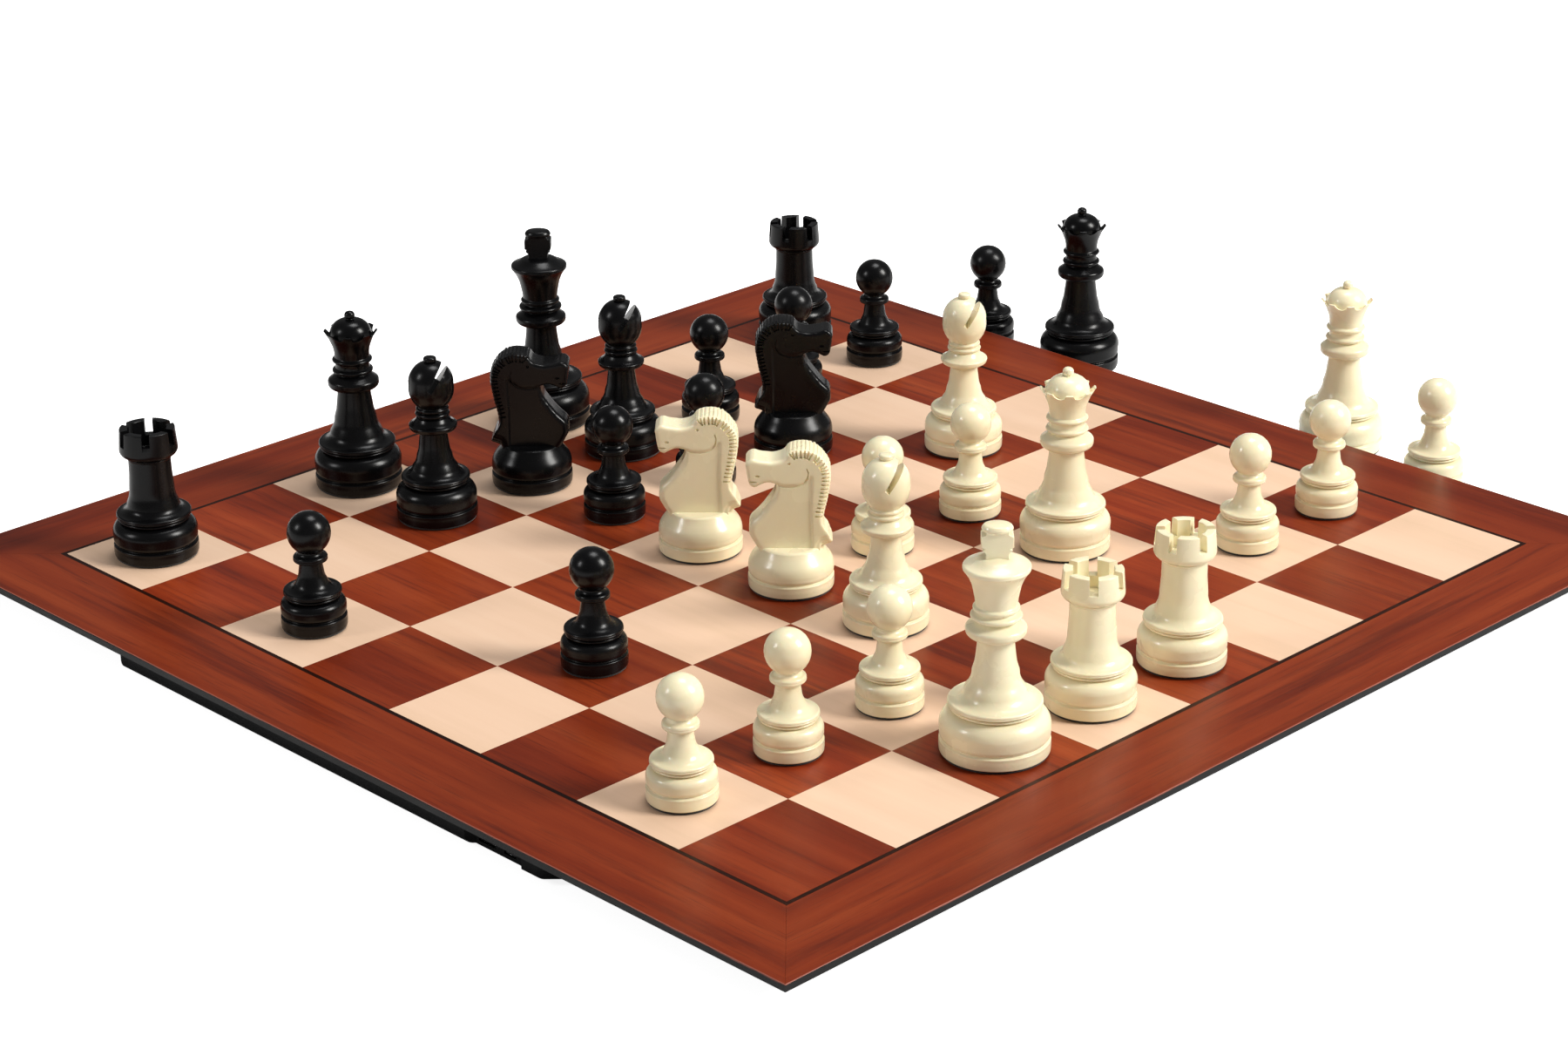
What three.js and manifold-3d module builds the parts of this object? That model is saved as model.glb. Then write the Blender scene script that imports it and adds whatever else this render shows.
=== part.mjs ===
// Electronic chess computer: a sensor board with a low electronics tray beneath it, and its 34 chessmen.
// Millimetres, +Z up. The origin is the middle of the board's underside, on the surface it stands on.
// +X runs along the ranks from the a-file to the h-file, +Y along the files from White's side to Black's.

import * as THREE from 'three';
import { mergeVertices } from 'three/addons/utils/BufferGeometryUtils.js';
import Module from 'manifold-3d';

const wasm = await Module();
wasm.setup();

// Driving dimensions of the board.
const SQUARE = 57;
const FIELD = 8 * SQUARE;
const BORDER = 42;
const BOARD = FIELD + 2 * BORDER;
const TOP_Z = 15;
const VENEER = 0.6;
const PANEL = 3;
const INLAY_WIDTH = 2;
const BACKING = 0.4;
const SEAT_GAP = 0.05;
const CUT_GAP = 0.3;

// Driving dimensions of the electronics tray.
const TRAY_HALF_X = 265.4;
const TRAY_HALF_Y = 235;
const TRAY_STRAIGHT = 135;
const TRAY_BOTTOM = 2.4;
const TRAY_WALL = 2.4;
const TRAY_FLOOR = 1.6;
const BAY_Y = -109;
const BAY_MOUTH = 33;
const BAY_DEPTH = 3;
const SOCKET_Z = 6.3;
const USB = { y: -101, width: 9, height: 3.9, length: 9.5, wall: 0.5 };
const ACCESSORY = { y: -114.5, width: 6.4, height: 3.9, length: 11, bore: 2.6 };
const RIBBON = { x: -207, width: 24, thickness: 0.6 };
const MAIN_BOARD = { x: -229.2, y: -96, length: 56, width: 72, thickness: 1.4, z: 8.35 };
const COIL_BOARD = { side: 444, thickness: 0.8 };
const FOOT_RADIUS = 9;
const FOOT_PLACES = { centre: [0, 0], front_left: [-225, -125], front_right: [225, -125],
  back_right: [225, 125], back_left: [-225, 125] };
const SCREW_PLACES = [[-250, 0], [250, 0], [-120, -228.5], [120, -228.5], [120, 228.5], [-120, 228.5]];
const SCREW_RADIUS = 1.4;
const SCREW_HEAD_RADIUS = 2.6;
const SCREW_HEAD = 1.4;
const BOSS_RADIUS = 3.4;

// Heights that follow from the stack.
const PANEL_BOTTOM = TOP_Z - PANEL;
const CORE_TOP = TOP_Z - VENEER - SEAT_GAP;
const BACKING_TOP = PANEL_BOTTOM - SEAT_GAP;
const BACKING_BOTTOM = BACKING_TOP - BACKING;
const TRAY_TOP = BACKING_BOTTOM - SEAT_GAP;
const FLOOR_TOP = TRAY_BOTTOM + TRAY_FLOOR;
const COIL_Z = PANEL_BOTTOM + CUT_GAP;
const SCREW_TIP = CORE_TOP - 1;
const BAY_INNER_X = -TRAY_HALF_X + BAY_DEPTH;
const SOCKET_FACE_X = BAY_INNER_X + 0.4;

// Colours.
const PAINT = {
  rosewood: { color: 0x7d3222, roughness: 0.35 },
  maple_and_rosewood: { color: 0xb98a66, roughness: 0.35 },
  dark_line: { color: 0x2a0f0a, roughness: 0.4 },
  black_lacquer: { color: 0x101010, roughness: 0.4 },
  black_plastic: { color: 0x0c0c0d, roughness: 0.55 },
  circuit_green: { color: 0x1d5a35, roughness: 0.5 },
  chip_black: { color: 0x17181a, roughness: 0.6 },
  socket_steel: { color: 0xb4b6b8, roughness: 0.3, metalness: 1 },
  ribbon_grey: { color: 0xa9a9a6, roughness: 0.6 },
  rubber: { color: 0x151515, roughness: 0.9 },
  screw_steel: { color: 0x8d8f92, roughness: 0.35, metalness: 1 },
  white_men: { color: 0xefe2bd, roughness: 0.3 },
  black_men: { color: 0x111112, roughness: 0.2 },
};

const chessComputer = new THREE.Group();

function addPart(name, geometry, paint, [x, y, z] = [0, 0, 0], parent = chessComputer) {
  const mesh = new THREE.Mesh(geometry, new THREE.MeshStandardMaterial(PAINT[paint]));
  mesh.name = name;
  mesh.position.set(x, y, z);
  parent.add(mesh);
  return mesh;
}

// Solids for joining and cutting.

function toSolid(geometry) {
  const bare = geometry.clone();
  bare.deleteAttribute('normal');
  bare.deleteAttribute('uv');
  const welded = mergeVertices(bare, 1e-4);
  const vertProperties = new Float32Array(welded.attributes.position.array);
  const corners = Array.from(welded.index.array);
  const kept = [];
  for (let i = 0; i < corners.length; i += 3) {
    const [a, b, c] = corners.slice(i, i + 3);
    if (a !== b && b !== c && c !== a) kept.push(a, b, c);
  }
  return new wasm.Manifold(new wasm.Mesh({ numProp: 3, vertProperties, triVerts: new Uint32Array(kept) }));
}

function toGeometry(solid) {
  const mesh = solid.getMesh();
  const geometry = new THREE.BufferGeometry();
  geometry.setAttribute('position', new THREE.BufferAttribute(new Float32Array(mesh.vertProperties), 3));
  geometry.setIndex(new THREE.BufferAttribute(new Uint32Array(mesh.triVerts), 1));
  geometry.computeVertexNormals();
  return geometry;
}

function cut(geometry, ...tools) {
  return toGeometry(tools.reduce((solid, tool) => solid.subtract(toSolid(tool)), toSolid(geometry)));
}

function join(geometry, ...others) {
  return toGeometry(others.reduce((solid, other) => solid.add(toSolid(other)), toSolid(geometry)));
}

// Plain shapes that stand on z = bottom.

function block(width, depth, bottom, top, x = 0, y = 0) {
  return new THREE.BoxGeometry(width, depth, top - bottom).translate(x, y, (bottom + top) / 2);
}

function disc(radius, bottom, top, x = 0, y = 0, sides = 16) {
  const cylinder = new THREE.CylinderGeometry(radius, radius, top - bottom, sides);
  return cylinder.rotateX(Math.PI / 2).translate(x, y, (bottom + top) / 2);
}

function slab(outline, bottom, top) {
  const shape = new THREE.Shape(outline.map(([x, y]) => new THREE.Vector2(x, y)));
  const depth = top - bottom;
  return new THREE.ExtrudeGeometry(shape, { depth, bevelEnabled: false }).translate(0, 0, bottom);
}

function turned(profile, sides) {
  const points = profile.map(([radius, height]) => new THREE.Vector2(radius, height));
  return new THREE.LatheGeometry(points, sides).rotateX(Math.PI / 2);
}

// The panel: core, marquetry field, inlaid line, four mitred border strips, backing and coil board.

function addPanel() {
  const screwHoles = SCREW_PLACES.map(([x, y]) =>
    disc(SCREW_RADIUS + CUT_GAP, PANEL_BOTTOM - 1, SCREW_TIP + CUT_GAP, x, y, 8));
  const pocketSide = COIL_BOARD.side + 2 * CUT_GAP;
  const pocket = block(pocketSide, pocketSide, PANEL_BOTTOM - 1, COIL_Z + COIL_BOARD.thickness + CUT_GAP);
  const core = block(BOARD, BOARD, PANEL_BOTTOM, CORE_TOP);
  addPart('core_panel', cut(core, pocket, ...screwHoles), 'black_lacquer');

  const veneerBottom = TOP_Z - VENEER;
  addPart('field_veneer', block(FIELD, FIELD, veneerBottom, TOP_Z), 'maple_and_rosewood');

  const lineInner = FIELD / 2 + SEAT_GAP;
  const lineOuter = lineInner + INLAY_WIDTH;
  const line = cut(block(2 * lineOuter, 2 * lineOuter, veneerBottom, TOP_Z),
    block(2 * lineInner, 2 * lineInner, veneerBottom - 1, TOP_Z + 1));
  addPart('inlay_line', line, 'dark_line');

  const inner = lineOuter + SEAT_GAP;
  const outer = BOARD / 2;
  const strip = [[-outer + SEAT_GAP, -outer], [outer - SEAT_GAP, -outer],
    [inner - SEAT_GAP, -inner], [-inner + SEAT_GAP, -inner]];
  ['front', 'right', 'back', 'left'].forEach((side, turn) => {
    const geometry = slab(strip, veneerBottom, TOP_Z).rotateZ(turn * Math.PI / 2);
    addPart(`border_veneer_${side}`, geometry, 'rosewood');
  });

  const coil = block(COIL_BOARD.side, COIL_BOARD.side, COIL_Z, COIL_Z + COIL_BOARD.thickness);
  addPart('coil_board', coil, 'circuit_green');

  const backingSide = BOARD - 4;
  const clearHoles = SCREW_PLACES.map(([x, y]) =>
    disc(SCREW_RADIUS + CUT_GAP, BACKING_BOTTOM - 1, BACKING_TOP + 1, x, y, 8));
  const ribbonWindow = block(8, RIBBON.width + 6, BACKING_BOTTOM - 1, BACKING_TOP + 1,
    RIBBON.x, MAIN_BOARD.y);
  addPart('backing_sheet', cut(block(backingSide, backingSide, BACKING_BOTTOM, BACKING_TOP),
    ribbonWindow, ...clearHoles), 'black_lacquer');
}

// The tray: an open-topped, eight-sided shell with screw bosses, board posts and a bay for the sockets.

function trayOutline(inset) {
  const x = TRAY_HALF_X - inset;
  const y = TRAY_HALF_Y - inset;
  const shift = inset * (Math.SQRT2 - 1);
  const straightY = TRAY_STRAIGHT - shift;
  const straightX = TRAY_HALF_X - (TRAY_HALF_Y - TRAY_STRAIGHT) - shift;
  return [[-straightX, -y], [straightX, -y], [x, -straightY], [x, straightY],
    [straightX, y], [-straightX, y], [-x, straightY], [-x, -straightY]];
}

// The two ends of the bay splay outwards at 45 degrees, from its inner face to past the tray's wall.
function bayCutter() {
  const reach = 1;
  const innerHalf = BAY_MOUTH / 2 - BAY_DEPTH;
  const outerHalf = BAY_MOUTH / 2 + reach;
  return slab([[-TRAY_HALF_X - reach, BAY_Y - outerHalf], [BAY_INNER_X, BAY_Y - innerHalf],
    [BAY_INNER_X, BAY_Y + innerHalf], [-TRAY_HALF_X - reach, BAY_Y + outerHalf]],
  TRAY_BOTTOM - reach, TRAY_TOP + reach);
}

function socketWindow(socket) {
  const bottom = SOCKET_Z - socket.height / 2 - CUT_GAP;
  return block(12, socket.width + 2 * CUT_GAP, bottom, TRAY_TOP + 1, BAY_INNER_X + 5, socket.y);
}

function addTray() {
  const edge = 2;
  const lower = slab(trayOutline(edge), TRAY_BOTTOM, TRAY_BOTTOM + 2 * edge);
  const upper = slab(trayOutline(0), TRAY_BOTTOM + edge, TRAY_TOP);
  const hollow = slab(trayOutline(TRAY_WALL + edge), FLOOR_TOP, TRAY_TOP + 1);
  const bayWall = block(BAY_DEPTH + 4, BAY_MOUTH + 6, TRAY_BOTTOM, TRAY_TOP, BAY_INNER_X + 0.9, BAY_Y);
  const bosses = SCREW_PLACES.map(([x, y]) => disc(BOSS_RADIUS, FLOOR_TOP - 0.5, TRAY_TOP, x, y, 8));
  const postX = MAIN_BOARD.length / 2 - 4;
  const postY = MAIN_BOARD.width / 2 - 4;
  const postTop = MAIN_BOARD.z - SEAT_GAP;
  const posts = [[-1, -1], [1, -1], [1, 1], [-1, 1]].map(([i, j]) =>
    disc(2.2, FLOOR_TOP - 0.5, postTop, MAIN_BOARD.x + i * postX, MAIN_BOARD.y + j * postY, 8));
  const shell = join(cut(join(lower, upper), hollow), bayWall, ...bosses, ...posts);

  const headTop = TRAY_BOTTOM + SCREW_HEAD + 2 * CUT_GAP;
  const headHoles = SCREW_PLACES.map(([x, y]) =>
    disc(SCREW_HEAD_RADIUS + CUT_GAP, TRAY_BOTTOM - 1, headTop, x, y, 10));
  const shankHoles = SCREW_PLACES.map(([x, y]) =>
    disc(SCREW_RADIUS + CUT_GAP, TRAY_BOTTOM, TRAY_TOP + 1, x, y, 8));
  const tray = cut(shell, bayCutter(), socketWindow(USB), socketWindow(ACCESSORY),
    ...headHoles, ...shankHoles);
  addPart('case_tray', tray, 'black_plastic');
}

// The electronics inside the tray: main board, processor, the two sockets and the ribbon to the coils.

function addElectronics() {
  const boardTop = MAIN_BOARD.z + MAIN_BOARD.thickness;
  addPart('main_board', block(MAIN_BOARD.length, MAIN_BOARD.width, MAIN_BOARD.z, boardTop,
    MAIN_BOARD.x, MAIN_BOARD.y), 'circuit_green');
  addPart('processor_chip', block(18, 18, boardTop + SEAT_GAP, boardTop + 1.3,
    MAIN_BOARD.x - 6, MAIN_BOARD.y - 14), 'chip_black');

  const usbX = SOCKET_FACE_X + USB.length / 2;
  const socketBottom = SOCKET_Z - USB.height / 2;
  const socketTop = SOCKET_Z + USB.height / 2;
  const usbShell = block(USB.length, USB.width, socketBottom, socketTop, usbX, USB.y);
  const usbMouth = block(USB.length, USB.width - 2 * USB.wall, socketBottom + USB.wall, socketTop - USB.wall,
    usbX - 2, USB.y);
  const tongue = block(USB.length - 1.5, USB.width - 4, SOCKET_Z + 0.1, SOCKET_Z + 0.9, usbX + 0.75, USB.y);
  addPart('usb_socket', join(cut(usbShell, usbMouth), tongue), 'socket_steel');

  const jackX = SOCKET_FACE_X + ACCESSORY.length / 2;
  const jack = block(ACCESSORY.length, ACCESSORY.width, SOCKET_Z - ACCESSORY.height / 2,
    SOCKET_Z + ACCESSORY.height / 2, jackX, ACCESSORY.y);
  const jackBore = new THREE.CylinderGeometry(ACCESSORY.bore / 2, ACCESSORY.bore / 2, ACCESSORY.length, 10)
    .rotateZ(Math.PI / 2).translate(jackX - 2, ACCESSORY.y, SOCKET_Z);
  addPart('accessory_socket', cut(jack, jackBore), 'black_plastic');

  const { thickness } = RIBBON;
  const low = boardTop + SEAT_GAP;
  const high = COIL_Z - SEAT_GAP;
  const step = [[-3, low], [1, low], [1 + thickness / 2, high - thickness], [3, high - thickness],
    [3, high], [1 - thickness / 2, high], [1 - thickness, low + thickness], [-3, low + thickness]];
  const shape = new THREE.Shape(step.map(([x, z]) => new THREE.Vector2(x, z)));
  const ribbon = new THREE.ExtrudeGeometry(shape, { depth: RIBBON.width, bevelEnabled: false })
    .rotateX(Math.PI / 2).translate(RIBBON.x, MAIN_BOARD.y + RIBBON.width / 2, 0);
  addPart('ribbon_cable', ribbon, 'ribbon_grey');
}

// What the tray stands on, and the screws that hold it to the panel.

function addFeetAndScrews() {
  for (const [place, [x, y]] of Object.entries(FOOT_PLACES)) {
    const foot = disc(FOOT_RADIUS, 0, TRAY_BOTTOM - SEAT_GAP, 0, 0, 20);
    addPart(`rubber_foot_${place}`, foot, 'rubber', [x, y, 0]);
  }
  SCREW_PLACES.forEach(([x, y], i) => {
    const headBottom = TRAY_BOTTOM + CUT_GAP;
    const headTop = headBottom + SCREW_HEAD;
    const profile = [[0, headBottom], [SCREW_HEAD_RADIUS, headBottom], [SCREW_HEAD_RADIUS, headTop],
      [SCREW_RADIUS, headTop], [SCREW_RADIUS, SCREW_TIP - 1], [0, SCREW_TIP]];
    addPart(`tray_screw_${i + 1}`, turned(profile, 10), 'screw_steel', [x, y, 0]);
  });
}

// The men. Each is one moulding turned about +Z, given here by its outline as [radius, height].

const MAN_SIDES = 16;
const PAWN_SIDES = 12;

// The shared foot: a plinth, a swelling bell, a pinched neck and an overhanging lip whose top is at lipTop.
function footOutline(radius, lip, lipTop) {
  return [
    [0, 0],
    [radius - 1.2, 0],
    [radius, 2],
    [radius, 0.45 * lipTop],
    [0.9 * radius, 0.66 * lipTop],
    [lip - 1.4, 0.82 * lipTop],
    [lip, lipTop - 1.6],
    [lip - 0.8, lipTop],
  ];
}

function pawn() {
  return turned([...footOutline(14.2, 12.3, 18), [6.2, 22.6], [4.9, 29.6], [7.2, 32], [5, 35], [9.3, 43.3],
    [6.6, 49.8], [0, 52.6]], PAWN_SIDES);
}

function rook() {
  const top = 59.7;
  const body = turned([...footOutline(18.8, 16.4, 20.8), [10.6, 26], [9.2, 36], [9.3, 43], [13, 48.5],
    [12.2, top], [0, top]], MAN_SIDES);
  const well = disc(8.5, 47.8, top + 1, 0, 0, 12);
  const slots = [0, 1, 2].map((i) => block(40, 3.5, 51.6, top + 1).rotateZ((i / 3 + 1 / 12) * Math.PI));
  return cut(body, well, ...slots);
}

function bishop() {
  const body = turned([...footOutline(18.5, 15.4, 21), [9.2, 27], [6.2, 41.5], [10.9, 45.4], [7.6, 49.5],
    [6.8, 53.8], [10.1, 64], [7.4, 71.6], [2, 74.2], [2.9, 76], [0, 77]], MAN_SIDES);
  const slit = block(16, 30, 0, 2.2).rotateY(-Math.PI / 3).translate(8, 0, 69);
  return cut(body, slit);
}

function queen() {
  const body = turned([...footOutline(20.2, 17.6, 22), [10.8, 28], [7.4, 47], [11.7, 51.5], [9, 56],
    [8.9, 61.5], [8.4, 66], [12.3, 75.2], [9.6, 73.6], [6.6, 79], [1.6, 81.4], [2.3, 83.2], [0, 84.4]],
  MAN_SIDES);
  const notches = [];
  for (let i = 0; i < 8; i += 1) {
    const notch = new THREE.CylinderGeometry(2.6, 2.6, 4, 4).rotateX(Math.PI / 2).translate(0, 11.6, 75.6);
    notches.push(notch.rotateZ((i + 0.5) * Math.PI / 4));
  }
  return cut(body, ...notches);
}

function king() {
  const body = turned([...footOutline(22.2, 18.7, 22.8), [11.4, 29], [7.8, 42], [7.2, 49], [12, 53],
    [8.6, 56.6], [9.7, 58], [8.5, 63], [9.4, 70], [13.3, 78], [9.4, 81], [3.6, 83.4], [0, 84]], MAN_SIDES);
  const arm = 6.3;
  const top = 96.4;
  const cross = [[-3.2, 82.6], [3.2, 82.6], [arm, 86.6], [arm, 95.2], [5, top], [-5, top], [-arm, 95.2],
    [-arm, 86.6]];
  return join(body, plateFacing(cross, 8));
}

// A flat plate whose outline is given as [across, height], standing in the XZ plane.
function plateFacing(outline, thickness) {
  const shape = new THREE.Shape(outline.map(([x, z]) => new THREE.Vector2(x, z)));
  return new THREE.ExtrudeGeometry(shape, { depth: thickness, bevelEnabled: false })
    .rotateX(Math.PI / 2).translate(0, thickness / 2, 0);
}

// The knight looks along +X: muzzle, brow, forelock, mane down the back, tail lock, chest and throat.
function knight() {
  const foot = turned([[0, 0], [17.6, 0], [18.8, 2], [18.8, 10.6], [17, 14.9], [13.4, 19.6], [12.4, 20.2],
    [0, 20.2]], MAN_SIDES);
  const head = [[15, 48.2], [18, 50.6], [18.6, 57.2], [17.4, 60.6], [15, 61.2], [10, 60], [5, 60.2],
    [1.6, 62.2], [0.1, 64.6], [-5, 65.5], [-10.2, 64], [-15, 60], [-17.4, 54.5], [-16.9, 47], [-14.6, 36],
    [-14.1, 31], [-17.8, 23.2], [-17.7, 21.7], [-13.6, 20.1], [-12, 17], [13, 17], [14.1, 19.8],
    [17.6, 28.6], [16, 32.6], [9.4, 40.4], [6.2, 45.2], [6.2, 49.6], [12.2, 49.6]];
  return join(foot, plateFacing(head, 15.4));
}

const SHAPES = {
  pawn: pawn(),
  rook: rook(),
  knight: knight(),
  bishop: bishop(),
  queen: queen(),
  king: king(),
};

// Each man on the board: its square and its turn about +Z, in degrees. Knights look along a diagonal.
const ON_BOARD = {
  white: {
    king: { c1: -45 },
    queen: { f3: 0 },
    rook: { d1: 27, e1: 0 },
    bishop: { d3: -45, g5: -45 },
    knight: { d4: 135, d5: 135 },
    pawn: { a2: 0, b2: 0, c2: 0, g2: 0, h2: 0, e4: 0, f4: 0 },
  },
  black: {
    king: { e8: -45 },
    queen: { c8: 0 },
    rook: { a8: 36, h8: 10 },
    bishop: { c7: -45, e7: -45 },
    knight: { d7: -45, f6: -45 },
    pawn: { a6: 0, b4: 0, d6: 0, e6: 0, f7: 0, g7: 0, h7: 0 },
  },
};

// The spare queen and the captured pawn of each side stand on the table beside the h-file.
const BESIDE_BOARD = {
  white: { queen: [297.5, -76.5], pawn: [289.5, -137] },
  black: { queen: [296, 89.5], pawn: [289, 147] },
};

function squareCentre(square) {
  const file = square.charCodeAt(0) - 'a'.charCodeAt(0);
  const rank = Number(square[1]) - 1;
  return [(file - 3.5) * SQUARE, (rank - 3.5) * SQUARE];
}

function addMan(side, kind, where, place, turn = 0) {
  const geometry = SHAPES[kind].clone().rotateZ(THREE.MathUtils.degToRad(turn));
  addPart(`${side}_${kind}_${where}`, geometry, `${side}_men`, place);
}

function addMen() {
  for (const side of ['white', 'black']) {
    for (const [kind, turns] of Object.entries(ON_BOARD[side])) {
      for (const [square, turn] of Object.entries(turns)) {
        addMan(side, kind, square, [...squareCentre(square), TOP_Z + CUT_GAP], turn);
      }
    }
    for (const [kind, [x, y]] of Object.entries(BESIDE_BOARD[side])) {
      addMan(side, kind, 'beside', [x, y, 0]);
    }
  }
}

addPanel();
addTray();
addElectronics();
addFeetAndScrews();
addMen();

export default chessComputer;
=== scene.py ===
import math

import bpy
from mathutils import Matrix, Vector


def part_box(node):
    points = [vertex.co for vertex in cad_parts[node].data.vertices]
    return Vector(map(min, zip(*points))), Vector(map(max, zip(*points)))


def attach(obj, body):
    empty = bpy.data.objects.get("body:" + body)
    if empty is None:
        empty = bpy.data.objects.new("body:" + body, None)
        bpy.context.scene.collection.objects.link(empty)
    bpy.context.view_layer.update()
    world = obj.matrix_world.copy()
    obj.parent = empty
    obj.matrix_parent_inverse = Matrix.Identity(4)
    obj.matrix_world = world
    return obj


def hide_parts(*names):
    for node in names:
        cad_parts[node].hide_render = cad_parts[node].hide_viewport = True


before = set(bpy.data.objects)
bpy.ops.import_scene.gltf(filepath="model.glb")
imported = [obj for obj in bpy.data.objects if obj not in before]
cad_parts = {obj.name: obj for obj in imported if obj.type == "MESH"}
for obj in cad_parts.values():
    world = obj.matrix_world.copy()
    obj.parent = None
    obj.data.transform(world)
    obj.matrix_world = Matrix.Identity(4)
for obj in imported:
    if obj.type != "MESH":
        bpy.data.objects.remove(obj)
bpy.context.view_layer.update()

# Electronic chess computer: a thin marquetry sensor board on a low electronics tray, with its 34 chessmen.
# Outlines are given in millimetres and are made in metres.

MM = 0.001
TURNED_SIDES = 64
ARC_STEP = math.radians(14)
# An edge that turns by more than this stays sharp.
SHARP_ANGLE = math.radians(30)

# The men's turns about +Z, in degrees: crosses and mitre slits square to the near corner, knights along it.
KIND_TURNS = {"king": -45, "bishop": -45}
KNIGHT_TURNS = {"white": 135, "black": -45}
ROOK_TURNS = {"white_rook_d1": 27, "white_rook_e1": 0, "black_rook_a8": 36, "black_rook_h8": 10}


# Camera, floor and lights.

def add_camera():
    bpy.ops.object.camera_add(location=(-1.021326, -1.042701, 0.642228),
                              rotation=[math.radians(a) for a in (67.18584, 0.63075, -44.54051)])
    camera = bpy.context.object
    camera.data.lens = 82.182
    camera.data.sensor_width = 36
    bpy.context.scene.camera = camera


def add_softbox(name, direction, distance, size, power, colour=(1, 1, 1)):
    """A square area light that looks at the middle of the board from that direction."""
    place = Vector(direction).normalized() * distance
    turn = place.to_track_quat("Z", "Y").to_euler()
    bpy.ops.object.light_add(type="AREA", location=place, rotation=turn)
    light = bpy.context.object
    light.name = name
    light.data.shape = "RECTANGLE"
    light.data.size, light.data.size_y = size
    light.data.energy = power
    light.data.color = colour


def shown_and_cast(tree, shown, cast):
    """A strength for what the camera sees directly, and another for the light that it casts."""
    seen = place_node(tree, "ShaderNodeLightPath").outputs["Is Camera Ray"]
    return place_node(tree, "ShaderNodeMapRange", Value=seen, To_Min=cast, To_Max=shown).outputs["Result"]


def add_stage():
    bpy.ops.mesh.primitive_plane_add(size=30, location=(0, 0, -0.0002))
    floor = bpy.context.object
    floor.name = "studio_floor"
    sheet = bpy.data.materials.new("studio_paper")
    sheet.use_nodes = True
    tree = sheet.node_tree
    paper = tree.nodes["Principled BSDF"]
    paper.inputs["Base Color"].default_value = (0.9, 0.9, 0.9, 1)
    paper.inputs["Roughness"].default_value = 0.9
    paper.inputs["Specular IOR Level"].default_value = 0.0
    paper.inputs["Emission Color"].default_value = (1, 1, 1, 1)
    tree.links.new(shown_and_cast(tree, 0.85, 0.0), paper.inputs["Emission Strength"])
    floor.data.materials.append(sheet)

    world = bpy.data.worlds.new("studio_world")
    world.use_nodes = True
    tree = world.node_tree
    tree.nodes["Background"].inputs["Color"].default_value = (1, 1, 1, 1)
    tree.links.new(shown_and_cast(tree, 1.0, 0.16), tree.nodes["Background"].inputs["Strength"])
    bpy.context.scene.world = world
    bpy.context.scene.view_settings.view_transform = "Standard"

    add_softbox("softbox_right", (0.42, -0.70, 0.62), 4.0, (1.2, 1.6), 180, (1, 0.985, 0.95))
    add_softbox("softbox_left", (-0.78, 0.37, 0.50), 4.0, (0.7, 1.0), 32)
    add_softbox("softbox_top", (0.25, 0.05, 1.0), 4.0, (1.5, 1.5), 68)


# Shapes.

def deselect_all():
    if bpy.context.object and bpy.context.object.mode != "OBJECT":
        bpy.ops.object.mode_set(mode="OBJECT")
    bpy.ops.object.select_all(action="DESELECT")


def arc(start, end, bulge):
    """The points after start on a round stretch to end, swelling by bulge to the right of the way there."""
    start, end = Vector(start), Vector(end)
    chord = end - start
    half = chord.length / 2
    radius = (half ** 2 + bulge ** 2) / (2 * abs(bulge))
    side = Vector((chord.y, -chord.x)).normalized() * math.copysign(1, bulge)
    centre = start + chord / 2 - side * (radius - abs(bulge))
    span = 2 * math.asin(min(1, half / radius)) * math.copysign(1, bulge)
    steps = max(2, math.ceil(abs(span) / ARC_STEP))
    return [centre + Matrix.Rotation(span * i / steps, 2) @ (start - centre) for i in range(1, steps + 1)]


def traced(outline):
    """An outline of (across, up) or (across, up, bulge) in millimetres as plain points in metres."""
    points = [Vector(outline[0][:2])]
    for spot in outline[1:]:
        end = Vector(spot[:2])
        points += arc(points[-1], end, spot[2]) if len(spot) == 3 and spot[2] else [end]
    return [point * MM for point in points]


def start_piece(name):
    piece = bpy.context.object
    piece.name = name
    bpy.ops.object.mode_set(mode="EDIT")
    bpy.ops.mesh.select_all(action="SELECT")
    return piece


def finish_piece(piece):
    """Faces outwards, smooth but for its sharp edges, with its place in its mesh."""
    bpy.ops.mesh.select_all(action="SELECT")
    bpy.ops.mesh.normals_make_consistent(inside=False)
    bpy.ops.object.mode_set(mode="OBJECT")
    bpy.ops.object.transform_apply()
    bpy.ops.object.shade_smooth_by_angle(angle=SHARP_ANGLE)
    return piece


def turned(name, outline, sides=TURNED_SIDES):
    """A turned solid about +Z: a filled ring, extruded and resized from one station to the next."""
    stations = traced(outline)
    radius, height = stations[0]
    deselect_all()
    bpy.ops.mesh.primitive_circle_add(vertices=sides, radius=radius, fill_type="NGON",
                                      location=(0, 0, height))
    piece = start_piece(name)
    for next_radius, next_height in stations[1:]:
        bpy.ops.mesh.extrude_region_move(
            TRANSFORM_OT_translate={"value": (0, 0, next_height - height)})
        scale = next_radius / radius
        bpy.ops.transform.resize(value=(scale, scale, 1), center_override=(0, 0, next_height))
        radius, height = next_radius, next_height
    return finish_piece(piece)


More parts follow.
